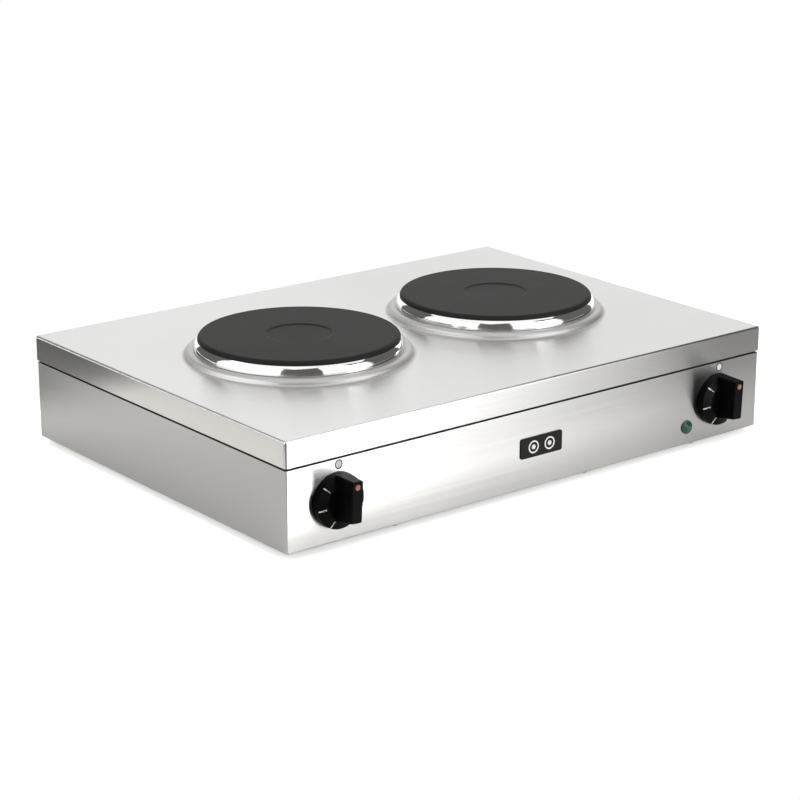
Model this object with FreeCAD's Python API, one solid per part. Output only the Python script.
"""Two-ring electric hot plate: folded steel casing, two cast-iron hotplates, two rotary switches.

Millimetres. +X is to the right of a person facing the front, the front faces -Y, +Z is up.
The origin lies on the surface that the feet stand on, under the middle of the whole object.
"""
import FreeCAD, Part
import math
import os

from FreeCAD import Rotation, Vector

# ---------------------------------------------------------------- driving dimensions
CASE_WIDTH = 530.0            # across the top cover
CASE_DEPTH = 380.0
FOOT_HEIGHT = 6.0             # surface to the casing's lower edge
BODY_HEIGHT = 94.5            # casing's lower edge to the deck
SKIRT_DEPTH = 22.7            # the top cover's folded skirt
SHADOW_GAP = 1.7              # between skirt and body wall
SHEET = 1.2                   # casing steel
BODY_INSET = 0.7              # body wall behind the cover's outer face
UPSTAND_INSET = 3.4           # joggled upstand behind the cover's outer face
CORNER_RADIUS = 2.0
FLANGE_WIDTH = 16.0           # folded flanges of the body, top and bottom
SEAM = 0.35                   # open corner seam of the folded skirt

PLATE_SPACING = 224.4         # centre to centre of the hotplates
PLATE_RADIUS = 88.6           # 180 mm class hotplate, cast disc
PLATE_TOP = 18.2              # above the deck
PLATE_UNDERSIDE = 1.0         # above the deck
RING_OUTER_RADIUS = 92.05     # spill ring at its foot
RING_FOOT = 6.1               # above the deck
RING_LIP = 14.3               # above the deck
RING_SHEET = 0.9
LAND_HEIGHT = 5.6             # raised collar of the deck
LAND_OUTER_RADIUS = 95.0
DECK_OPENING_RADIUS = 89.0

KNOB_SPACING = 427.6          # centre to centre of the two controls
KNOB_SHIFT = -1.4             # both controls lie a little left of their printed off marks
KNOB_HEIGHT = 35.8            # control axis above the casing's lower edge
KNOB_PROJECTION = 27.5        # knob's front face in front of the panel
KNOB_GAP = 0.8                # knob's rim to the panel
KNOB_RADIUS = 23.5
KNOB_WALL = 2.2
DIAL_RADIUS = 23.0            # the knob's conical dial, from its outer edge
DIAL_EDGE = 6.3               # in front of the panel
DIAL_FACE_RADIUS = 15.0       # to the flat round the grip
DIAL_FACE = 9.5               # in front of the panel
OFF_ANGLE = 2.5               # at rest the pointer leans clockwise to the off mark
SPINDLE_RADIUS = 3.0
SPINDLE_CLEARANCE = 0.05
SWITCH_STEPS = 7              # off and six heats, evenly spaced round one turn

LAMP_X = 176.2
LAMP_HEIGHT = 16.1            # above the casing's lower edge
LAMP_RADIUS = 6.25
BADGE_X = 2.0
BADGE_HEIGHT = 36.4           # above the casing's lower edge
BADGE_SIZE = (46.8, 1.0, 18.2)

GLAND_X = 120.0
GLAND_HEIGHT = 30.0           # above the casing's lower edge
CABLE_RADIUS = 5.0            # supply cable that the gland takes

WIRE_RADIUS = 1.5
LAMP_WIRE_RADIUS = 0.8
TAB_SIZE = (6.3, 9.0, 0.8)    # standard push-on terminal tab

# ---------------------------------------------------------------- worked-out levels
DECK_Z = FOOT_HEIGHT + BODY_HEIGHT
SKIRT_Z = DECK_Z - SKIRT_DEPTH
WALL_TOP_Z = SKIRT_Z - SHADOW_GAP
KNOB_Z = FOOT_HEIGHT + KNOB_HEIGHT
PLATE_X = PLATE_SPACING / 2
KNOB_X = {sign: sign * KNOB_SPACING / 2 + KNOB_SHIFT for sign in (-1, 1)}
PANEL_Y = -CASE_DEPTH / 2 + BODY_INSET        # front face of the body
PANEL_BACK_Y = PANEL_Y + SHEET
REAR_Y = -PANEL_Y
BASE_TOP_Z = FOOT_HEIGHT                      # the base plate lies under the bottom flange
BASE_LOW_Z = BASE_TOP_Z - SHEET
UP = Vector(0, 0, 1)
BACK = Vector(0, 1, 0)
RIGHT = Vector(1, 0, 0)
HAIR = 0.01


# ---------------------------------------------------------------- shared helpers
def save(name, shape):
    """Write one sub-part, a single solid or a group of separate solids."""
    if not shape.isValid():
        raise RuntimeError(name + " isn't a valid shape")
    shape.exportStep(os.path.join("parts", name + ".step"))
    volume = sum(solid.Volume for solid in shape.Solids)
    print("%-28s solids %2d  volume %10.1f mm3" % (name, len(shape.Solids), volume))


def group(shapes):
    return Part.makeCompound(shapes)


def moved(shape, x=0.0, y=0.0, z=0.0):
    copy = shape.copy()
    copy.translate(Vector(x, y, z))
    return copy


def mirrored(shape, sign):
    """The shape itself on the right (+1), its mirror image in X on the left (-1)."""
    return shape if sign > 0 else shape.mirror(Vector(0, 0, 0), RIGHT)


def box(size, centre_x, centre_y, low_z):
    corner = Vector(centre_x - size[0] / 2, centre_y - size[1] / 2, low_z)
    return Part.makeBox(size[0], size[1], size[2], corner)


def cylinder(radius, length, base=Vector(0, 0, 0), direction=UP):
    return Part.makeCylinder(radius, length, base, direction)


def upright_edges(shape):
    return [e for e in shape.Edges if abs(e.Vertexes[0].Z - e.Vertexes[-1].Z) > HAIR]


def flat_edges_at(shape, z):
    return [e for e in shape.Edges if abs(e.BoundBox.ZMin - z) < HAIR and abs(e.BoundBox.ZMax - z) < HAIR]


def rounded_prism(width, depth, low_z, high_z, radius, x=0.0, y=0.0):
    prism = box((width, depth, high_z - low_z), x, y, low_z)
    return prism.makeFillet(radius, upright_edges(prism))


def case_prism(inset, low_z, high_z):
    """Block as large as the casing in plan, shrunk by inset on every side."""
    radius = max(CORNER_RADIUS - inset, 0.5)
    return rounded_prism(CASE_WIDTH - 2 * inset, CASE_DEPTH - 2 * inset, low_z, high_z, radius)


def hexagon(across_flats, height, base=Vector(0, 0, 0), direction=UP):
    corner = across_flats / math.sqrt(3)
    points = [Vector(corner * math.cos(math.radians(60 * i)), corner * math.sin(math.radians(60 * i)), 0)
              for i in range(7)]
    prism = Part.Face(Part.makePolygon(points)).extrude(UP * height)
    prism.Placement = FreeCAD.Placement(base, Rotation(UP, direction))
    return prism


def nut(across_flats, height, hole_radius, base, direction=UP):
    body = hexagon(across_flats, height, base, direction)
    return body.cut(cylinder(hole_radius, height, base, direction))


def pan_screw(thread_radius, length, seat, direction):
    """Pan head screw with a cross recess. direction points from the head's seat out to the head."""
    head_radius = 1.9 * thread_radius
    head_height = 1.2 * thread_radius
    head = cylinder(head_radius, head_height)
    head = head.makeFillet(0.45 * head_height, flat_edges_at(head, head_height))
    slot_length = 1.3 * thread_radius
    slot_width = 0.35 * thread_radius
    recess_depth = 0.6 * head_height
    for size in ((slot_length, slot_width, recess_depth), (slot_width, slot_length, recess_depth)):
        head = head.cut(box(size, 0, 0, head_height - recess_depth))
    screw = head.fuse(cylinder(thread_radius, length, Vector(0, 0, -length)))
    screw = screw.removeSplitter()
    screw.Placement = FreeCAD.Placement(seat, Rotation(UP, direction))
    return screw


def on_circle(centre, radius, angle_deg):
    """Point on a circle in the radius-height plane."""
    angle = math.radians(angle_deg)
    return (centre[0] + radius * math.cos(angle), centre[1] + radius * math.sin(angle))


def outline(start, *steps):
    """Closed face in the XZ plane. A step is an end point, or a mid point and an end point of an arc."""
    here = start
    edges = []
    for step in steps + (start,):
        arc = isinstance(step[0], tuple)
        end = step[1] if arc else step
        a, b = Vector(here[0], 0, here[1]), Vector(end[0], 0, end[1])
        if arc:
            edges.append(Part.Arc(a, Vector(step[0][0], 0, step[0][1]), b).toShape())
        elif a.distanceToPoint(b) > HAIR:
            edges.append(Part.makeLine(a, b))
        here = end
    return Part.Face(Part.Wire(edges))


def turned(face, angle_deg=360.0):
    """Solid of revolution about Z of a face in the XZ plane."""
    return face.revolve(Vector(0, 0, 0), UP, angle_deg)


def wire_run(points, radius, bend_radius=12.0):
    """Round wire along straight runs joined by tangent arcs; its volume is checked."""
    points = [Vector(*p) for p in points]
    here = points[0]
    edges = []
    for before, corner, after in zip(points, points[1:], points[2:]):
        towards = (before - corner).normalize()
        onwards = (after - corner).normalize()
        half_turn = (math.pi - towards.getAngle(onwards)) / 2
        shorter = min((before - corner).Length, (after - corner).Length)
        bend = min(bend_radius, 0.45 * shorter / math.tan(half_turn))
        setback = bend * math.tan(half_turn)
        bisector = (towards + onwards).normalize()
        centre = corner + bisector * (bend / math.cos(half_turn))
        start = corner + towards * setback
        end = corner + onwards * setback
        edges.append(Part.LineSegment(here, start).toShape())
        edges.append(Part.Arc(start, centre - bisector * bend, end).toShape())
        here = end
    edges.append(Part.LineSegment(here, points[-1]).toShape())
    path = Part.Wire(edges)
    section = Part.Wire(Part.makeCircle(radius, points[0], points[1] - points[0]))
    tube = path.makePipeShell([section], True, True)
    expected = math.pi * radius ** 2 * path.Length
    if abs(tube.Volume / expected - 1) > 0.005:
        raise RuntimeError("wire volume is %.1f, not %.1f" % (tube.Volume, expected))
    return tube


def terminal_tab(tip, direction):
    """Push-on tab whose tip lies at the given point and whose root lies back along direction."""
    width, length, thickness = TAB_SIZE
    tab = Part.makeBox(width, length, thickness, Vector(-width / 2, 0, -thickness / 2))
    tab.Placement = FreeCAD.Placement(tip, Rotation(Vector(0, -1, 0), direction))
    return tab


# ---------------------------------------------------------------- casing
COLLAR_LOWER_RADIUS = 2.0     # concave bend at the deck
COLLAR_UPPER_RADIUS = 4.5     # convex bend at the land
COLLAR_EDGE = 104.0           # where the pressed collar blends into the flat deck


def collar():
    """Pressed collar of the deck round one hotplate, about the plate's axis, deck top at zero."""
    both = COLLAR_LOWER_RADIUS + COLLAR_UPPER_RADIUS
    slope = math.degrees(math.acos(1 - LAND_HEIGHT / both))
    toe = LAND_OUTER_RADIUS + both * math.sin(math.radians(slope))
    upper_centre = (LAND_OUTER_RADIUS, LAND_HEIGHT - COLLAR_UPPER_RADIUS)
    lower_centre = (toe, COLLAR_LOWER_RADIUS)

    def upper(offset, angle):
        return on_circle(upper_centre, COLLAR_UPPER_RADIUS - offset, angle)

    def lower(offset, angle):
        return on_circle(lower_centre, COLLAR_LOWER_RADIUS + offset, angle)

    profile = outline(
        (COLLAR_EDGE, 0),
        (toe, 0),
        (lower(0, -90 - slope / 2), lower(0, -90 - slope)),
        (upper(0, 90 - slope / 2), upper(0, 90)),
        (DECK_OPENING_RADIUS, LAND_HEIGHT),
        (DECK_OPENING_RADIUS, LAND_HEIGHT - SHEET),
        upper(SHEET, 90),
        (upper(SHEET, 90 - slope / 2), upper(SHEET, 90 - slope)),
        (lower(SHEET, -90 - slope / 2), lower(SHEET, -90)),
        (COLLAR_EDGE, -SHEET))
    return turned(profile)


COVER_STUDS = [(x, y) for y in (-178.0, 178.0) for x in (-180.0, 0.0, 180.0)]
COVER_STUD_RADIUS = 2.0
COVER_STUD_LENGTH = 9.0
NUT_FLATS = 7.0               # M4
NUT_HEIGHT = 3.2


def top_cover():
    """Deck, folded skirt, two pressed collars and the studs that are welded to the underside."""
    outer = case_prism(0, SKIRT_Z, DECK_Z)
    outer = outer.makeFillet(CORNER_RADIUS - HAIR, flat_edges_at(outer, DECK_Z))
    inner = case_prism(SHEET, SKIRT_Z, DECK_Z - SHEET)
    cover = outer.cut(inner)
    for sign in (-1, 1):
        hole = cylinder(COLLAR_EDGE, 2 * SHEET, Vector(sign * PLATE_X, 0, DECK_Z - 1.5 * SHEET))
        cover = cover.cut(hole).fuse(moved(collar(), sign * PLATE_X, 0, DECK_Z))
    cover = cover.removeSplitter()
    slit_size = (4 * SHEET, SEAM, SKIRT_DEPTH - 1.5 * CORNER_RADIUS)
    slit_y = CASE_DEPTH / 2 - CORNER_RADIUS
    for x_sign in (-1, 1):
        for y_sign in (-1, 1):
            cover = cover.cut(box(slit_size, x_sign * CASE_WIDTH / 2, y_sign * slit_y, SKIRT_Z))
    for x, y in COVER_STUDS:
        root = Vector(x, y, DECK_Z - SHEET)
        cover = cover.fuse(cylinder(COVER_STUD_RADIUS, COVER_STUD_LENGTH, root, -UP))
    return cover


def cover_nuts():
    low = DECK_Z - 2 * SHEET
    return group([nut(NUT_FLATS, NUT_HEIGHT, COVER_STUD_RADIUS, Vector(x, y, low), -UP)
                  for x, y in COVER_STUDS])


SCREW_RADIUS = 2.0            # M4
SCREW_HOLE_RADIUS = 2.2
BASE_SCREW_LENGTH = 4.5
FOOT_SCREW_LENGTH = 8.5
WALL_FOLD_RADIUS = 1.0        # outside of the folds at the wall's lower edge
SHOULDER_RADIUS = 0.8         # outside of the folds at the wall's upper edge
BASE_SCREWS = ([(x, y) for y in (-180.0, 180.0) for x in (-150.0, 60.0, 190.0)]
               + [(x, y) for x in (-255.0, 255.0) for y in (-60.0, 60.0)])
FEET = {"front_left": (-225.0, -150.0), "front_right": (225.0, -150.0),
        "rear_left": (-225.0, 150.0), "rear_right": (225.0, 150.0)}
SWITCH_SCREW_PITCH = 28.0     # the usual fixing pitch of a cooker switch
PANEL_SHAFT_HOLE_RADIUS = 5.0
LAMP_HOLE_RADIUS = 5.0
GLAND_THREAD_RADIUS = 10.0    # M20


def body_shell():
    """Folded wall with inward flanges top and bottom and an upstand inside the cover's skirt."""
    wall = case_prism(BODY_INSET, FOOT_HEIGHT, WALL_TOP_Z)
    wall = wall.makeFillet(WALL_FOLD_RADIUS, flat_edges_at(wall, FOOT_HEIGHT))
    wall = wall.makeFillet(SHOULDER_RADIUS, flat_edges_at(wall, WALL_TOP_Z))
    wall = wall.cut(case_prism(BODY_INSET + SHEET, FOOT_HEIGHT + SHEET, WALL_TOP_Z - SHEET))
    upstand = case_prism(UPSTAND_INSET, WALL_TOP_Z - SHEET, DECK_Z - SHEET)
    shell = wall.fuse(upstand)
    shell = shell.cut(case_prism(UPSTAND_INSET + SHEET, WALL_TOP_Z - 2 * SHEET, DECK_Z - 2 * SHEET))
    mouth = BODY_INSET + FLANGE_WIDTH
    shell = shell.cut(case_prism(mouth, 0, DECK_Z))
    holes = [cylinder(SCREW_RADIUS, 3 * SHEET, Vector(x, y, BASE_TOP_Z - SHEET)) for x, y in BASE_SCREWS]
    holes += [cylinder(SCREW_HOLE_RADIUS, 3 * SHEET, Vector(x, y, DECK_Z - 3 * SHEET))
              for x, y in COVER_STUDS]
    for sign in (-1, 1):
        axis = Vector(KNOB_X[sign], PANEL_Y - SHEET, KNOB_Z)
        holes.append(cylinder(PANEL_SHAFT_HOLE_RADIUS, 3 * SHEET, axis, BACK))
        for side in (-1, 1):
            offset = RIGHT * (side * SWITCH_SCREW_PITCH / 2)
            holes.append(cylinder(SCREW_HOLE_RADIUS, 3 * SHEET, axis + offset, BACK))
    lamp = Vector(LAMP_X, PANEL_Y - SHEET, FOOT_HEIGHT + LAMP_HEIGHT)
    holes.append(cylinder(LAMP_HOLE_RADIUS, 3 * SHEET, lamp, BACK))
    gland = Vector(GLAND_X, REAR_Y - 2 * SHEET, FOOT_HEIGHT + GLAND_HEIGHT)
    holes.append(cylinder(GLAND_THREAD_RADIUS, 3 * SHEET, gland, BACK))
    return shell.cut(holes).removeSplitter()


VENT_LENGTH = 46.0
VENT_WIDTH = 3.0
VENT_PITCH = 9.0
VENTS_PER_BANK = 9
VENT_BANK_Y = 40.0
BASE_INSET = 3.0              # base plate's edge behind the body wall
EARTH_STUD = (170.0, 140.0)
EARTH_STUD_RADIUS = 2.5
EARTH_STUD_LENGTH = 17.0
MAINS_BLOCK = (120.0, 136.0)
MAINS_BLOCK_SIZE = (44.0, 24.0, 20.0)


def base_plate():
    """Flat plate with banks of vent slots, holes for the fixings and a welded earth stud."""
    plate = case_prism(BODY_INSET + BASE_INSET, BASE_LOW_Z, BASE_TOP_Z)
    cuts = [cylinder(SCREW_HOLE_RADIUS, 3 * SHEET, Vector(x, y, BASE_LOW_Z - SHEET))
            for x, y in BASE_SCREWS + list(FEET.values())]
    for bank_x in (-PLATE_X, PLATE_X):
        for bank_y in (-VENT_BANK_Y, VENT_BANK_Y):
            for i in range(VENTS_PER_BANK):
                x = bank_x + (i - (VENTS_PER_BANK - 1) / 2) * VENT_PITCH
                cuts.append(rounded_prism(VENT_WIDTH, VENT_LENGTH, BASE_LOW_Z - SHEET, BASE_TOP_Z + SHEET,
                                          VENT_WIDTH / 2 - HAIR, x, bank_y))
    plate = plate.cut(cuts)
    stud = cylinder(EARTH_STUD_RADIUS, EARTH_STUD_LENGTH, Vector(EARTH_STUD[0], EARTH_STUD[1], BASE_TOP_Z))
    return plate.fuse(stud)


def base_screws():
    return group([pan_screw(SCREW_RADIUS, BASE_SCREW_LENGTH, Vector(x, y, BASE_LOW_Z), -UP)
                  for x, y in BASE_SCREWS])


FOOT_RADIUS = 12.0
FOOT_TAPER = 1.5
FOOT_EDGE = 0.8
FOOT_RECESS_RADIUS = 4.6
FOOT_RECESS_DEPTH = 3.0


def foot(x, y):
    """Low rubber foot with a recess for its screw."""
    body = Part.makeCone(FOOT_RADIUS - FOOT_TAPER, FOOT_RADIUS, BASE_LOW_Z)
    body = body.makeFillet(FOOT_EDGE, flat_edges_at(body, 0))
    body = body.cut(cylinder(FOOT_RECESS_RADIUS, FOOT_RECESS_DEPTH))
    return moved(body.cut(cylinder(SCREW_HOLE_RADIUS, BASE_LOW_Z)), x, y)


def foot_screws():
    return group([pan_screw(SCREW_RADIUS, FOOT_SCREW_LENGTH, Vector(x, y, FOOT_RECESS_DEPTH), -UP)
                  for x, y in FEET.values()])


def foot_nuts():
    return group([nut(NUT_FLATS, NUT_HEIGHT, SCREW_RADIUS, Vector(x, y, BASE_TOP_Z))
                  for x, y in FEET.values()])


# ---------------------------------------------------------------- hotplate, about its axis, deck top at zero
GROOVE_RADII = (42.0, 66.0)
GROOVE_WIDTH = 10.0
GROOVE_DEPTH = 8.0
COIL_RADIUS = 3.5
LEAD_RADIUS = 1.2
DISC_NECK_RADIUS = 87.4       # below the spill ring's lip
RECESS_RADIUS = 27.2          # bottom of the dished centre
RECESS_DEPTH = 0.9
RECESS_SLOPE = 3.0
STUD_RADIUS = 3.0
STUD_SOCKET_DEPTH = 8.0
PAN_LOW = -7.0
PAN_SHEET = 0.8
PAN_RADIUS = 78.0
BAR_TOP = -15.5
BAR_THICKNESS = 3.0
BAR_WIDTH = 25.0
BAR_HALF_LENGTH = 112.0
BLOCK_SIZE = (24.0, 52.0, 14.0)
BLOCK_CENTRE = (44.0, -32.0)  # outward of the plate's axis and towards the front
BLOCK_TAB_PITCH = 12.0
COIL_LEADS_Y = ((-14.0, -20.0), (-45.0, -51.0))


def hotplate():
    """Cast disc with a dished centre, a rounded edge that overhangs the ring, and coil grooves below."""
    edge_radius = PLATE_TOP - RING_LIP
    flat_radius = PLATE_RADIUS - edge_radius
    ease_radius = (RECESS_SLOPE ** 2 + RECESS_DEPTH ** 2) / (4 * RECESS_DEPTH)
    turn = math.degrees(math.asin(RECESS_SLOPE / 2 / ease_radius))
    low_centre = (RECESS_RADIUS, PLATE_TOP - RECESS_DEPTH + ease_radius)
    high_centre = (RECESS_RADIUS + RECESS_SLOPE, PLATE_TOP - ease_radius)
    profile = outline(
        (0, PLATE_UNDERSIDE),
        (0, PLATE_TOP - RECESS_DEPTH),
        (RECESS_RADIUS, PLATE_TOP - RECESS_DEPTH),
        (on_circle(low_centre, ease_radius, -90 + turn / 2), on_circle(low_centre, ease_radius, -90 + turn)),
        (on_circle(high_centre, ease_radius, 90 + turn / 2), on_circle(high_centre, ease_radius, 90)),
        (flat_radius, PLATE_TOP),
        (on_circle((flat_radius, RING_LIP), edge_radius, 45), (PLATE_RADIUS, RING_LIP)),
        (DISC_NECK_RADIUS, RING_LIP),
        (DISC_NECK_RADIUS, PLATE_UNDERSIDE))
    disc = turned(profile)
    for radius in GROOVE_RADII:
        outer = cylinder(radius + GROOVE_WIDTH / 2, GROOVE_DEPTH, Vector(0, 0, PLATE_UNDERSIDE))
        inner = cylinder(radius - GROOVE_WIDTH / 2, GROOVE_DEPTH, Vector(0, 0, PLATE_UNDERSIDE))
        disc = disc.cut(outer.cut(inner))
    return disc.cut(cylinder(STUD_RADIUS, STUD_SOCKET_DEPTH, Vector(0, 0, PLATE_UNDERSIDE)))


def spill_ring():
    """Pressed bright ring: lip under the disc's edge, bulged wall, inward-turned foot."""
    lip_radius = PLATE_RADIUS + 0.3
    foot_inner_radius = DISC_NECK_RADIUS + 1.4
    bulge = 0.9
    middle = ((lip_radius + RING_OUTER_RADIUS) / 2 + bulge, (RING_LIP + RING_FOOT) / 2 + bulge / 3)
    inner_middle = (middle[0] - RING_SHEET, middle[1])
    profile = outline(
        (DISC_NECK_RADIUS, RING_LIP),
        (lip_radius, RING_LIP),
        (middle, (RING_OUTER_RADIUS, RING_FOOT)),
        (foot_inner_radius, RING_FOOT),
        (foot_inner_radius, RING_FOOT + RING_SHEET),
        (RING_OUTER_RADIUS - RING_SHEET, RING_FOOT + RING_SHEET),
        (inner_middle, (lip_radius - RING_SHEET, RING_LIP - RING_SHEET)),
        (DISC_NECK_RADIUS, RING_LIP - RING_SHEET))
    return turned(profile)


def ring_gasket():
    outer = cylinder(RING_OUTER_RADIUS - 0.5, RING_FOOT - LAND_HEIGHT, Vector(0, 0, LAND_HEIGHT))
    return outer.cut(cylinder(DECK_OPENING_RADIUS + 0.3, RING_FOOT - LAND_HEIGHT, Vector(0, 0, LAND_HEIGHT)))


def coil_lead_points():
    """Where each heating ring's two ends turn down, in plan."""
    return [[(math.sqrt(radius ** 2 - y ** 2), y) for y in pair]
            for radius, pair in zip(GROOVE_RADII, COIL_LEADS_Y)]


def heating_rings():
    """Two ring-shaped heating conductors, each with its two leads down to the terminal block."""
    level = PLATE_UNDERSIDE + GROOVE_DEPTH - COIL_RADIUS - 0.5
    rings = []
    for radius, ends in zip(GROOVE_RADII, coil_lead_points()):
        first = math.degrees(math.atan2(ends[0][1], ends[0][0]))
        last = math.degrees(math.atan2(ends[1][1], ends[1][0]))
        section = Part.Face(Part.Wire(Part.makeCircle(COIL_RADIUS, Vector(radius, 0, level), BACK)))
        ring = turned(section, 360 + last - first)
        ring.rotate(Vector(0, 0, 0), UP, first)
        for x, y in ends:
            inward = math.copysign(LEAD_RADIUS, first - math.degrees(math.atan2(y, x)) - 0.1)
            angle = math.atan2(y, x) + inward / radius
            foot_point = Vector(radius * math.cos(angle), radius * math.sin(angle), PAN_LOW)
            ring = ring.fuse(cylinder(LEAD_RADIUS, level - PAN_LOW, foot_point))
        rings.append(ring)
    return group(rings)


def under_pan():
    """Shallow pan that closes the disc's underside."""
    height = PLATE_UNDERSIDE - PAN_LOW
    pan = cylinder(PAN_RADIUS, height, Vector(0, 0, PAN_LOW))
    pan = pan.makeFillet(3.0, flat_edges_at(pan, PAN_LOW))
    inside = cylinder(PAN_RADIUS - PAN_SHEET, height, Vector(0, 0, PAN_LOW + PAN_SHEET))
    inside = inside.makeFillet(3.0 - PAN_SHEET, flat_edges_at(inside, PAN_LOW + PAN_SHEET))
    pan = pan.cut(inside)
    holes = [cylinder(STUD_RADIUS + 0.3, height, Vector(0, 0, PAN_LOW - 1))]
    for ends in coil_lead_points():
        for x, y in ends:
            holes.append(cylinder(LEAD_RADIUS + 2.0, height / 2, Vector(x, y, PAN_LOW - 1)))
    return pan.cut(holes)


def plate_terminal_block():
    """Ceramic block under the pan, with rounded edges."""
    block = box(BLOCK_SIZE, BLOCK_CENTRE[0], BLOCK_CENTRE[1], PAN_LOW - BLOCK_SIZE[2])
    return block.makeFillet(1.5, upright_edges(block))


def block_tab_tips():
    """Tip of each push-on tab on the block's outward face."""
    x = BLOCK_CENTRE[0] + BLOCK_SIZE[0] / 2 + TAB_SIZE[1]
    z = PAN_LOW - BLOCK_SIZE[2] / 2
    return [Vector(x, BLOCK_CENTRE[1] + (i - 1.5) * BLOCK_TAB_PITCH, z) for i in range(4)]


def clamp_bar():
    """Steel strip under the plate whose turned-up ends bear on the deck's underside."""
    deck_underside = -SHEET
    low = BAR_TOP - BAR_THICKNESS
    leg_inner = BAR_HALF_LENGTH - BAR_THICKNESS
    toe = BAR_HALF_LENGTH + 8.0
    half = [(0, low), (BAR_HALF_LENGTH, low), (BAR_HALF_LENGTH, deck_underside - BAR_THICKNESS),
            (toe, deck_underside - BAR_THICKNESS), (toe, deck_underside), (leg_inner, deck_underside),
            (leg_inner, BAR_TOP), (0, BAR_TOP)]
    points = [Vector(-BAR_WIDTH / 2, y, z) for y, z in half + half[:1]]
    strip = Part.Face(Part.makePolygon(points)).extrude(RIGHT * BAR_WIDTH)
    strip = strip.fuse(strip.mirror(Vector(0, 0, 0), BACK)).removeSplitter()
    return strip.cut(cylinder(STUD_RADIUS + 0.3, 2 * BAR_THICKNESS, Vector(0, 0, low - 1)))


STUD_LOW = -30.0


def clamp_stud():
    length = PLATE_UNDERSIDE + STUD_SOCKET_DEPTH - STUD_LOW
    stud = cylinder(STUD_RADIUS, length, Vector(0, 0, STUD_LOW))
    return stud.makeChamfer(0.6, flat_edges_at(stud, STUD_LOW))


def clamp_nut():
    """Flanged nut under the clamp bar."""
    low = BAR_TOP - BAR_THICKNESS - 6.0
    flange = cylinder(8.0, 1.5, Vector(0, 0, BAR_TOP - BAR_THICKNESS - 1.5))
    body = hexagon(10.0, 4.5, Vector(0, 0, low)).fuse(flange)
    return body.cut(cylinder(STUD_RADIUS, 6.0, Vector(0, 0, low)))


# ---------------------------------------------------------------- controls, about Z, panel at zero, front up
HOUSING_SIZE = (42.0, 46.0, 34.0)
HOUSING_FRONT_WALL = 6.0
HOUSING_WALL = 2.5
BACK_THICKNESS = 4.0
SPINDLE_FLAT = 1.6            # flat of the D-shaped spindle, from its axis
SPINDLE_TIP = 17.0            # in front of the panel, inside the knob
LOAD_TABS = [(-12.0, 14.0), (-4.0, 14.0), (4.0, 14.0), (12.0, 14.0)]
SUPPLY_TABS = [(-8.0, -14.0), (8.0, -14.0)]
LAMP_TABS = [(-12.0, 0.0), (-4.0, 0.0)]
CAM_RADIUS = 11.0
CAM_COUNT = 4
DIAL_EDGE_ROUNDING = 0.5
KNOB_BOSS_RADIUS = 6.6
KNOB_BOSS_END = 1.4           # in front of the panel
GRIP_LOW = 4.5                # where the grip's sides start, in front of the panel
GRIP_WIDTH_BASE = 12.7
GRIP_WIDTH_FRONT = 10.2
GRIP_POINTER_BASE = 23.0
GRIP_POINTER_FRONT = 22.5
GRIP_TAIL_BASE = 15.8
GRIP_TAIL_FRONT = 12.4
GRIP_CORNER = 1.4
GRIP_EDGE_ROUNDING = 0.6
DOT_RADIUS = 2.4
DOT_DEPTH = 1.5
DOT_OFFSET = 17.4


def spindle_rod(low, high):
    """D-shaped rod between two levels."""
    rod = cylinder(SPINDLE_RADIUS, high - low, Vector(0, 0, low))
    waste = Part.makeBox(2 * SPINDLE_RADIUS, 2 * SPINDLE_RADIUS, high - low,
                         Vector(-SPINDLE_RADIUS, SPINDLE_FLAT, low))
    return rod.cut(waste)


def switch_housing():
    """Moulded box behind the panel, open at the back, with the spindle's front bearing."""
    width, height, depth = HOUSING_SIZE
    front = -SHEET
    housing = rounded_prism(width, height, front - depth, front, 2.0)
    cavity = rounded_prism(width - 2 * HOUSING_WALL, height - 2 * HOUSING_WALL, front - depth,
                           front - HOUSING_FRONT_WALL, 1.0)
    cuts = [cavity, cylinder(SPINDLE_RADIUS + SPINDLE_CLEARANCE, depth, Vector(0, 0, front - depth))]
    for side in (-1, 1):
        at = Vector(side * SWITCH_SCREW_PITCH / 2, 0, front - HOUSING_FRONT_WALL)
        cuts.append(cylinder(SCREW_RADIUS, HOUSING_FRONT_WALL, at))
    return housing.cut(cuts)


HOUSING_BACK = -SHEET - HOUSING_SIZE[2]


def switch_back():
    """Cover of the switch that carries the tabs and the spindle's rear bearing."""
    width, height, _ = HOUSING_SIZE
    cover = rounded_prism(width, height, HOUSING_BACK - BACK_THICKNESS, HOUSING_BACK, 2.0)
    bearing = cylinder(SPINDLE_RADIUS + SPINDLE_CLEARANCE, BACK_THICKNESS / 2,
                       Vector(0, 0, HOUSING_BACK - BACK_THICKNESS / 2))
    return cover.cut(bearing)


def spindle():
    return spindle_rod(HOUSING_BACK - BACK_THICKNESS / 2 + 0.3, SPINDLE_TIP)


def switch_cams():
    """Cam drum on the spindle: a core and one disc per contact, each with its own flats."""
    top = -SHEET - HOUSING_FRONT_WALL - 1.0
    low = HOUSING_BACK + 1.0
    pitch = (top - low) / CAM_COUNT
    drum = cylinder(0.6 * CAM_RADIUS, top - low, Vector(0, 0, low))
    for i in range(CAM_COUNT):
        level = low + i * pitch
        disc = cylinder(CAM_RADIUS, 0.6 * pitch, Vector(0, 0, level))
        for flat in range(i + 1):
            notch = Part.makeBox(8, 3, pitch, Vector(-4, 0.8 * CAM_RADIUS, level))
            notch.rotate(Vector(0, 0, 0), UP, 360 / SWITCH_STEPS * (2 * flat + i))
            disc = disc.cut(notch)
        drum = drum.fuse(disc)
    return drum.removeSplitter().cut(spindle_rod(low, top))


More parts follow.
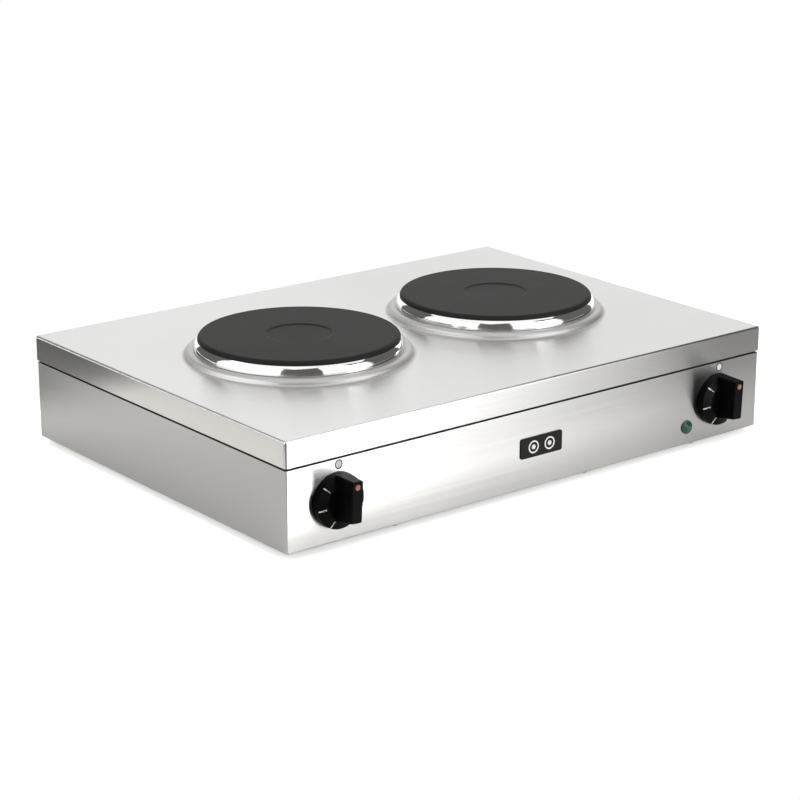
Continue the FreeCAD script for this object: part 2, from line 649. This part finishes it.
def grip_outline(width, pointer, tail, level):
    """Rounded rectangle of the bar grip at one level, pointer towards +Y."""
    half = width / 2
    inner = [Vector(half - GRIP_CORNER, pointer - GRIP_CORNER, level),
             Vector(-half + GRIP_CORNER, pointer - GRIP_CORNER, level),
             Vector(-half + GRIP_CORNER, -tail + GRIP_CORNER, level),
             Vector(half - GRIP_CORNER, -tail + GRIP_CORNER, level)]
    edges = []
    last = None
    for i, centre in enumerate(inner):
        start, middle, end = (centre + GRIP_CORNER * Vector(math.cos(a), math.sin(a), 0)
                              for a in (math.radians(90 * i + turn) for turn in (0, 45, 90)))
        if last:
            edges.append(Part.makeLine(last, start))
        edges.append(Part.Arc(start, middle, end).toShape())
        last = end
    edges.append(Part.makeLine(last, inner[0] + GRIP_CORNER * RIGHT))
    return Part.Wire(edges)


def knob():
    """Control knob: low rim, conical dial and a bar grip with its pointer towards +Y, hollow behind."""
    skirt = turned(outline(
        (0, KNOB_GAP),
        (KNOB_RADIUS, KNOB_GAP),
        (DIAL_RADIUS, DIAL_EDGE),
        (DIAL_FACE_RADIUS, DIAL_FACE),
        (0, DIAL_FACE)))
    skirt = skirt.makeFillet(DIAL_EDGE_ROUNDING, flat_edges_at(skirt, DIAL_EDGE))
    base = grip_outline(GRIP_WIDTH_BASE, GRIP_POINTER_BASE, GRIP_TAIL_BASE, GRIP_LOW)
    front = grip_outline(GRIP_WIDTH_FRONT, GRIP_POINTER_FRONT, GRIP_TAIL_FRONT, KNOB_PROJECTION)
    grip = Part.makeLoft([base, front], True)
    grip = grip.makeFillet(GRIP_EDGE_ROUNDING, flat_edges_at(grip, KNOB_PROJECTION))
    body = skirt.fuse(grip).removeSplitter()
    hollow_radius = KNOB_RADIUS - KNOB_WALL
    cavity = turned(outline(
        (0, KNOB_GAP),
        (hollow_radius, KNOB_GAP),
        (hollow_radius, DIAL_EDGE - KNOB_WALL),
        (DIAL_FACE_RADIUS, DIAL_FACE - KNOB_WALL),
        (0, DIAL_FACE - KNOB_WALL)))
    boss = cylinder(KNOB_BOSS_RADIUS, DIAL_FACE, Vector(0, 0, KNOB_BOSS_END))
    body = body.cut(cavity.cut(boss))
    body = body.cut(spindle_rod(0, SPINDLE_TIP))
    return body.cut(pointer_dot())


def pointer_dot():
    return cylinder(DOT_RADIUS, DOT_DEPTH, Vector(0, DOT_OFFSET, KNOB_PROJECTION - DOT_DEPTH))


def as_control(shape, sign, lean=0.0):
    """Place a shape built about Z, front up and pointer +Y, on the panel with its pointer up."""
    copy = shape.copy()
    copy.rotate(Vector(0, 0, 0), UP, -lean)
    copy.rotate(Vector(0, 0, 0), RIGHT, 90)
    copy.translate(Vector(KNOB_X[sign], PANEL_Y, KNOB_Z))
    return copy


def switch_screws():
    seats = [Vector(KNOB_X[sign] + side * SWITCH_SCREW_PITCH / 2, PANEL_Y, KNOB_Z)
             for sign in (-1, 1) for side in (-1, 1)]
    return group([pan_screw(SCREW_RADIUS, SHEET + HOUSING_FRONT_WALL - 0.5, seat, -BACK) for seat in seats])


SWITCH_TAB_Y = PANEL_Y - HOUSING_BACK + BACK_THICKNESS + TAB_SIZE[1]


def switch_tab_tips(sign, places):
    """Tips of a switch's tabs; the left-hand switch counts its tabs from the other side."""
    return [Vector(KNOB_X[sign] + sign * dx, SWITCH_TAB_Y, KNOB_Z + dz) for dx, dz in places]


def plate_tab_tips(sign):
    return [Vector(sign * (PLATE_X + tip.x), tip.y, DECK_Z + tip.z) for tip in block_tab_tips()]


def terminal_tabs():
    """Every push-on tab, on both switches and on both hotplate blocks."""
    tabs = []
    for sign in (-1, 1):
        places = LOAD_TABS + SUPPLY_TABS + (LAMP_TABS if sign > 0 else [])
        tabs += [terminal_tab(tip, BACK) for tip in switch_tab_tips(sign, places)]
        tabs += [terminal_tab(tip, RIGHT * sign) for tip in plate_tab_tips(sign)]
    return group(tabs)


# ---------------------------------------------------------------- lamp and badge
LENS_FACETS = 8
LENS_PROJECTION = 4.0
LAMP_BODY_LENGTH = 22.0
LENS_BARREL = 9.0
LAMP_BARREL_RADIUS = LAMP_HOLE_RADIUS - 0.1


def on_panel(shape, x, height):
    """Place a shape built about Z, front up, on the front panel."""
    copy = shape.copy()
    copy.rotate(Vector(0, 0, 0), RIGHT, 90)
    copy.translate(Vector(x, PANEL_Y, FOOT_HEIGHT + height))
    return copy


def lamp_lens():
    """Lens with a flange, a faceted crown and a barrel through the panel."""
    flange = cylinder(LAMP_RADIUS, 1.2)
    flange = flange.makeFillet(0.4, flat_edges_at(flange, 1.2))
    crown = Part.makeCone(LAMP_RADIUS - 0.7, 0.45 * LAMP_RADIUS, LENS_PROJECTION - 1.2, Vector(0, 0, 1.2))
    for i in range(LENS_FACETS):
        cutter = Part.makeBox(10, 6, 10, Vector(-5, LAMP_RADIUS - 1.5, 0))
        cutter.rotate(Vector(0, LAMP_RADIUS - 1.5, 1.2), RIGHT, 45)
        cutter.rotate(Vector(0, 0, 0), UP, 360 / LENS_FACETS * i)
        crown = crown.cut(cutter)
    barrel = cylinder(LAMP_BARREL_RADIUS, LENS_BARREL, Vector(0, 0, -LENS_BARREL))
    return on_panel(flange.fuse([crown, barrel]).removeSplitter(), LAMP_X, LAMP_HEIGHT)


def lamp_body():
    body = cylinder(LAMP_BARREL_RADIUS, LAMP_BODY_LENGTH, Vector(0, 0, -LENS_BARREL - LAMP_BODY_LENGTH))
    return on_panel(body, LAMP_X, LAMP_HEIGHT)


def lamp_clip():
    """Spring washer that holds the lamp behind the panel."""
    thickness = 1.5
    low = Vector(0, 0, -SHEET - thickness)
    ring = cylinder(LAMP_HOLE_RADIUS + 3.0, thickness, low)
    return on_panel(ring.cut(cylinder(LAMP_BARREL_RADIUS, thickness, low)), LAMP_X, LAMP_HEIGHT)


def badge():
    """Plain name plate with rounded corners, no lettering."""
    width, thickness, height = BADGE_SIZE
    plate = rounded_prism(width, height, 0, thickness, 2.2)
    plate = plate.makeFillet(0.3, flat_edges_at(plate, thickness))
    return on_panel(plate, BADGE_X, BADGE_HEIGHT)


# ---------------------------------------------------------------- cable gland, about Z, rear panel at zero
GLAND_PROJECTION = KNOB_PROJECTION
GLAND_HEX = 26.0
GLAND_HEX_LENGTH = 6.0
GLAND_SHANK = 11.0
GLAND_CAP_RADIUS = 13.0
SEAL_RADIUS = 8.0
SEAL_LOW = 10.0
SEAL_HIGH = 22.0
SLEEVE_RADIUS = SEAL_RADIUS + 1.8
SLEEVE_END = SEAL_HIGH - 2.0
GLAND_PASSAGE_RADIUS = CABLE_RADIUS + 1.8
GLAND_MOUTH_RADIUS = CABLE_RADIUS + 0.8
GLAND_CAP_LOW = GLAND_HEX_LENGTH + 1.0
GLAND_CAP_FLATS = 24.4
GLAND_CAP_DOME = 5.0
GLAND_CAP_COLLAR = 3.0
LOCKNUT_HEIGHT = 5.0


def on_rear(shape):
    copy = shape.copy()
    copy.rotate(Vector(0, 0, 0), RIGHT, -90)
    copy.translate(Vector(GLAND_X, REAR_Y, FOOT_HEIGHT + GLAND_HEIGHT))
    return copy


def gland_body():
    """Hexagon flange, threaded shank through the panel and the sleeve that holds the seal."""
    eased_corners = Part.makeCone(GLAND_HEX / 2 + 4, GLAND_HEX / 2 + 0.4, GLAND_HEX_LENGTH)
    flange = hexagon(GLAND_HEX, GLAND_HEX_LENGTH).common(eased_corners)
    shank = cylinder(GLAND_THREAD_RADIUS, GLAND_SHANK, Vector(0, 0, -GLAND_SHANK))
    sleeve = cylinder(SLEEVE_RADIUS, SLEEVE_END - GLAND_HEX_LENGTH, Vector(0, 0, GLAND_HEX_LENGTH))
    body = flange.fuse([shank, sleeve]).removeSplitter()
    passage = cylinder(GLAND_PASSAGE_RADIUS, GLAND_SHANK + SEAL_HIGH, Vector(0, 0, -GLAND_SHANK))
    socket = cylinder(SEAL_RADIUS, SEAL_HIGH, Vector(0, 0, SEAL_LOW))
    return body.cut([passage, socket])


def gland_seal():
    sleeve = cylinder(SEAL_RADIUS, SEAL_HIGH - SEAL_LOW, Vector(0, 0, SEAL_LOW))
    return sleeve.cut(cylinder(CABLE_RADIUS, SEAL_HIGH - SEAL_LOW, Vector(0, 0, SEAL_LOW)))


def gland_cap():
    """Domed clamping nut over the sleeve, ribbed for the spanner."""
    foot_point = Vector(0, 0, GLAND_CAP_LOW)
    length = GLAND_PROJECTION - GLAND_CAP_LOW
    cap = cylinder(GLAND_CAP_RADIUS, length, foot_point)
    cap = cap.makeFillet(GLAND_CAP_DOME, flat_edges_at(cap, GLAND_PROJECTION))
    spanner = hexagon(GLAND_CAP_FLATS, length, foot_point)
    cap = cap.common(spanner.fuse(cylinder(GLAND_CAP_RADIUS, GLAND_CAP_COLLAR, foot_point)))
    inside = cylinder(SLEEVE_RADIUS, SLEEVE_END - GLAND_CAP_LOW, foot_point)
    seat = cylinder(SEAL_RADIUS, SEAL_HIGH - GLAND_CAP_LOW, foot_point)
    mouth = cylinder(GLAND_MOUTH_RADIUS, length, foot_point)
    return cap.cut([inside, seat, mouth]).removeSplitter()


def gland_locknut():
    return nut(GLAND_HEX, LOCKNUT_HEIGHT, GLAND_THREAD_RADIUS, Vector(0, 0, -SHEET), -UP)


# ---------------------------------------------------------------- mains connection and wiring
POLE_PITCH = 14.0
TERMINAL_SCREW_RADIUS = 2.2
TERMINAL_SCREW_DEPTH = 6.0    # socket of each clamping screw
TERMINAL_ROW = 6.0            # rows of screws, each side of the block's middle
NEUTRAL_WIRE_Z = 13.0         # the two planes in which the supply wires cross
LIVE_WIRE_Z = 20.0
PAIR_OFFSET = 2.0
BLOCK_FRONT_Y = MAINS_BLOCK[1] - MAINS_BLOCK_SIZE[1] / 2
EARTH_WIRE_Z = 16.0
LUG_THICKNESS = 1.0
LUG_RADIUS = 5.0
LUG_REACH = 9.0               # from the stud's axis to the wire's end
EARTH_NUT_FLATS = 8.0         # M5
EARTH_NUT_HEIGHT = 4.0


def mains_screw_places():
    return [(MAINS_BLOCK[0] + pole * POLE_PITCH, MAINS_BLOCK[1] + row * TERMINAL_ROW)
            for pole in (-1, 0, 1) for row in (-1, 1)]


def mains_terminal_screws():
    """Clamping screws in the top of the mains block."""
    top = BASE_TOP_Z + MAINS_BLOCK_SIZE[2]
    screws = []
    for x, y in mains_screw_places():
        screw = cylinder(TERMINAL_SCREW_RADIUS, TERMINAL_SCREW_DEPTH - 1.0,
                         Vector(x, y, top - TERMINAL_SCREW_DEPTH))
        slot = box((1.6 * TERMINAL_SCREW_RADIUS, 0.8, 2.0), x, y, top - 2.5)
        screws.append(screw.cut(slot))
    return group(screws)


def mains_terminal_block():
    """Three-pole block on the base, with a groove between the poles."""
    block = box(MAINS_BLOCK_SIZE, MAINS_BLOCK[0], MAINS_BLOCK[1], BASE_TOP_Z)
    block = block.makeFillet(1.0, upright_edges(block))
    top = BASE_TOP_Z + MAINS_BLOCK_SIZE[2]
    cuts = [cylinder(TERMINAL_SCREW_RADIUS, TERMINAL_SCREW_DEPTH, Vector(x, y, top - TERMINAL_SCREW_DEPTH))
            for x, y in mains_screw_places()]
    groove_width, groove_depth = 1.6, 5.0
    for side in (-1, 1):
        groove_x = MAINS_BLOCK[0] + side * POLE_PITCH / 2
        groove_size = (groove_width, MAINS_BLOCK_SIZE[1], groove_depth)
        cuts.append(box(groove_size, groove_x, MAINS_BLOCK[1], top - groove_depth))
    return block.cut(cuts)


def supply_wires():
    """Live and neutral from the mains block to each switch, crossing in two planes."""
    wires = []
    for z, pole_x, row_y, tab in ((LIVE_WIRE_Z, 0.0, 95.0, 1), (NEUTRAL_WIRE_Z, -POLE_PITCH, 85.0, 0)):
        for sign in (-1, 1):
            start_x = MAINS_BLOCK[0] + pole_x + sign * PAIR_OFFSET
            tip = switch_tab_tips(sign, SUPPLY_TABS)[tab]
            wires.append(wire_run([(start_x, BLOCK_FRONT_Y, z), (start_x, row_y, z), (tip.x, row_y, z),
                                   (tip.x, -55.0, z), (tip.x, -95.0, tip.z), tip], WIRE_RADIUS))
    return group(wires)


def plate_wires(sign):
    """Four wires from one hotplate's block out to the side, down and forward to its switch."""
    wires = []
    for start, end in zip(plate_tab_tips(sign), switch_tab_tips(sign, LOAD_TABS)):
        route = [start, (end.x, start.y, start.z), (end.x, start.y, end.z), end]
        wires.append(wire_run(route, WIRE_RADIUS))
    return group(wires)


def lamp_wires():
    """Two thin wires from the lamp to the right-hand switch."""
    lamp_z = FOOT_HEIGHT + LAMP_HEIGHT
    start_y = PANEL_Y + LENS_BARREL + LAMP_BODY_LENGTH
    wires = []
    for side, reach, end in zip((-1, 1), (-118.0, -110.0), switch_tab_tips(1, LAMP_TABS)):
        x = LAMP_X + side * 2.5
        wires.append(wire_run([(x, start_y, lamp_z), (x, reach, lamp_z), (end.x, reach, end.z), end],
                              LAMP_WIRE_RADIUS, 8.0))
    return group(wires)


def earth_wire():
    """Short earth wire from the mains block round to a ring terminal on the earth stud."""
    start_x = MAINS_BLOCK[0] + POLE_PITCH
    stud_x, stud_y = EARTH_STUD
    row_y = 106.0
    run = wire_run([(start_x, BLOCK_FRONT_Y, EARTH_WIRE_Z), (start_x, row_y, EARTH_WIRE_Z),
                    (stud_x, row_y, EARTH_WIRE_Z), (stud_x, stud_y - LUG_REACH, EARTH_WIRE_Z)], WIRE_RADIUS)
    lug_low = EARTH_WIRE_Z - LUG_THICKNESS / 2
    ring = cylinder(LUG_RADIUS, LUG_THICKNESS, Vector(stud_x, stud_y, lug_low))
    tongue = box((4.0, LUG_REACH - 1.0, LUG_THICKNESS), stud_x, stud_y - LUG_REACH + 3.0, lug_low)
    hole_low = Vector(stud_x, stud_y, lug_low - LUG_THICKNESS)
    hole = cylinder(EARTH_STUD_RADIUS + 0.1, 3 * LUG_THICKNESS, hole_low)
    lug = ring.fuse(tongue).cut(hole)
    return run.fuse(lug)


def earth_nuts():
    """One nut under the ring terminal and one over it."""
    half_lug = LUG_THICKNESS / 2
    return group([nut(EARTH_NUT_FLATS, EARTH_NUT_HEIGHT, EARTH_STUD_RADIUS,
                      Vector(EARTH_STUD[0], EARTH_STUD[1], low))
                  for low in (EARTH_WIRE_Z - half_lug - EARTH_NUT_HEIGHT, EARTH_WIRE_Z + half_lug)])


# ---------------------------------------------------------------- assembly
HOTPLATE_PARTS = {"hotplate": hotplate, "spill_ring": spill_ring, "ring_gasket": ring_gasket,
                  "heating_rings": heating_rings, "under_pan": under_pan,
                  "plate_terminal_block": plate_terminal_block, "clamp_bar": clamp_bar,
                  "clamp_stud": clamp_stud, "clamp_nut": clamp_nut}
SWITCH_PARTS = {"switch_housing": switch_housing, "switch_back": switch_back}
TURNING_PARTS = {"switch_cams": switch_cams, "spindle": spindle, "knob": knob, "pointer_dot": pointer_dot}
SINGLE_PARTS = {"top_cover": top_cover, "body_shell": body_shell, "base_plate": base_plate,
                "cover_nuts": cover_nuts, "base_screws": base_screws, "foot_screws": foot_screws,
                "foot_nuts": foot_nuts, "switch_screws": switch_screws, "terminal_tabs": terminal_tabs,
                "lamp_lens": lamp_lens, "lamp_body": lamp_body, "lamp_clip": lamp_clip, "badge": badge,
                "mains_terminal_block": mains_terminal_block, "mains_terminal_screws": mains_terminal_screws,
                "supply_wires": supply_wires, "lamp_wires": lamp_wires, "earth_wire": earth_wire,
                "earth_nuts": earth_nuts}
GLAND_PARTS = {"gland_body": gland_body, "gland_seal": gland_seal, "gland_cap": gland_cap,
               "gland_locknut": gland_locknut}


def main():
    os.makedirs("parts", exist_ok=True)
    for name, build in SINGLE_PARTS.items():
        save(name, build())
    for place, (x, y) in FEET.items():
        save("foot_" + place, foot(x, y))
    for name, build in GLAND_PARTS.items():
        save(name, on_rear(build()))
    for side, sign in (("left", -1), ("right", 1)):
        for name, build in HOTPLATE_PARTS.items():
            save(side + "_" + name, moved(mirrored(build(), sign), sign * PLATE_X, 0, DECK_Z))
        for name, build in SWITCH_PARTS.items():
            save(side + "_" + name, as_control(build(), sign))
        for name, build in TURNING_PARTS.items():
            save(side + "_" + name, as_control(build(), sign, OFF_ANGLE))
        save(side + "_plate_wires", plate_wires(sign))


main()
